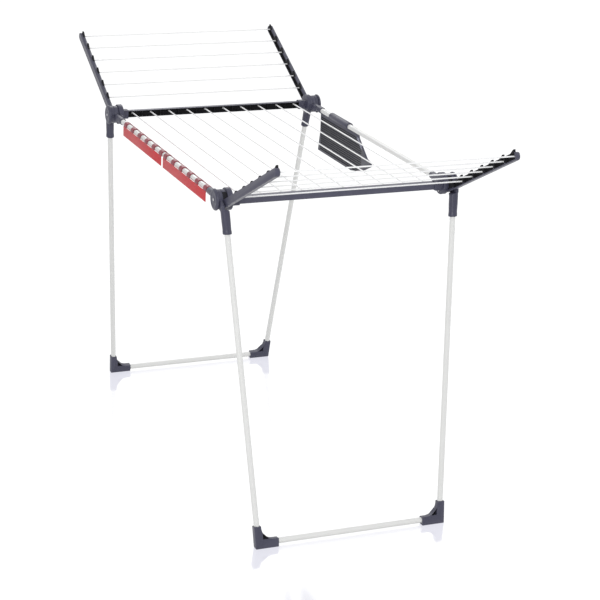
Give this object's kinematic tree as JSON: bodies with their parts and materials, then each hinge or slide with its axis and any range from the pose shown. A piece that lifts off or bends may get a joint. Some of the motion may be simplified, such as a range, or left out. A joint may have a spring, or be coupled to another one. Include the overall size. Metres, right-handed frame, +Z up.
{
  "type": "clothes drying rack",
  "caption": "Free-standing folding drying rack with a lined top frame, two raised lined wings, splayed tube legs, clip-on small-item holders and a hanging side panel.",
  "frame": {"origin": "on the floor under the middle of the top frame", "axes": "+Z up, +Y along the rails and middle lines towards the far wing, +X across the rack to the side that carries the hanging panel"},
  "size_m": [0.7216, 1.8178, 1.1448],
  "materials": {
    "slate_plastic": "satin moulded, slate grey",
    "white_tube": "smooth powder coat, off-white",
    "line_coating": "smooth coated line, white",
    "red_plastic": "satin moulded, red",
    "steel": "zinc-plated"
  },
  "bodies": {
    "top_frame": {"left_rail": "white_tube", "right_rail": "white_tube", "near_end_bar": "slate_plastic", "far_end_bar": "slate_plastic", "corner_housing_near_left": "slate_plastic", "corner_housing_near_right": "slate_plastic", "corner_housing_far_left": "slate_plastic", "corner_housing_far_right": "slate_plastic", "hub_cap_near_left": "slate_plastic", "hub_cap_near_right": "slate_plastic", "hub_cap_far_left": "slate_plastic", "hub_cap_far_right": "slate_plastic", "hub_pins": "steel", "housing_screws": "steel", "middle_line_01": "line_coating", "middle_line_02": "line_coating", "middle_line_03": "line_coating", "middle_line_04": "line_coating", "middle_line_05": "line_coating", "middle_line_06": "line_coating", "middle_line_07": "line_coating", "middle_line_08": "line_coating", "middle_line_09": "line_coating", "middle_line_10": "line_coating"},
    "near_legs": {"near_left_leg_socket": "slate_plastic", "near_right_leg_socket": "slate_plastic", "near_left_leg_tube": "white_tube", "near_right_leg_tube": "white_tube", "near_crossbar": "white_tube", "near_left_foot": "slate_plastic", "near_right_foot": "slate_plastic"},
    "far_legs": {"far_left_leg_socket": "slate_plastic", "far_right_leg_socket": "slate_plastic", "far_left_leg_tube": "white_tube", "far_right_leg_tube": "white_tube", "far_crossbar": "white_tube", "far_left_foot": "slate_plastic", "far_right_foot": "slate_plastic"},
    "near_wing": {"near_left_wing_arm": "slate_plastic", "near_right_wing_arm": "slate_plastic", "near_wing_line_1": "line_coating", "near_wing_line_2": "line_coating", "near_wing_line_3": "line_coating", "near_wing_line_4": "line_coating", "near_wing_line_5": "line_coating", "near_wing_line_6": "line_coating"},
    "far_wing": {"far_left_wing_arm": "slate_plastic", "far_right_wing_arm": "slate_plastic", "far_wing_line_1": "line_coating", "far_wing_line_2": "line_coating", "far_wing_line_3": "line_coating", "far_wing_line_4": "line_coating", "far_wing_line_5": "line_coating", "far_wing_line_6": "line_coating"},
    "near_holder": {"near_rail_holder": "red_plastic"},
    "far_holder": {"far_rail_holder": "red_plastic"},
    "side_panel": {"panel_clip": "slate_plastic", "ribbed_panel": "slate_plastic"}
  },
  "joints": [
    {"name": "near_leg_fold", "type": "hinge", "parent": "top_frame", "child": "near_legs", "pos_m": [0, -0.508, 0.952], "axis": [1, 0, 0], "range_deg": [0, 98.5]},
    {"name": "far_leg_fold", "type": "hinge", "parent": "top_frame", "child": "far_legs", "pos_m": [0, 0.508, 0.952], "axis": [-1, 0, 0], "range_deg": [0, 95.5]},
    {"name": "near_wing_fold", "type": "hinge", "parent": "top_frame", "child": "near_wing", "pos_m": [0, -0.508, 0.952], "axis": [-1, 0, 0], "range_deg": [0, 143]},
    {"name": "far_wing_fold", "type": "hinge", "parent": "top_frame", "child": "far_wing", "pos_m": [0, 0.508, 0.952], "axis": [1, 0, 0], "range_deg": [0, 143]},
    {"name": "near_holder_swing", "type": "hinge", "parent": "top_frame", "child": "near_holder", "pos_m": [-0.3365, -0.218, 0.95], "axis": [0, 1, 0], "range_deg": [0, 90]},
    {"name": "far_holder_swing", "type": "hinge", "parent": "top_frame", "child": "far_holder", "pos_m": [-0.3365, 0.18, 0.95], "axis": [0, 1, 0], "range_deg": [0, 90]},
    {"name": "panel_swing", "type": "hinge", "parent": "top_frame", "child": "side_panel", "pos_m": [0.3365, 0.2595, 0.95], "axis": [0, -1, 0], "range_deg": [0, 90]}
  ]
}
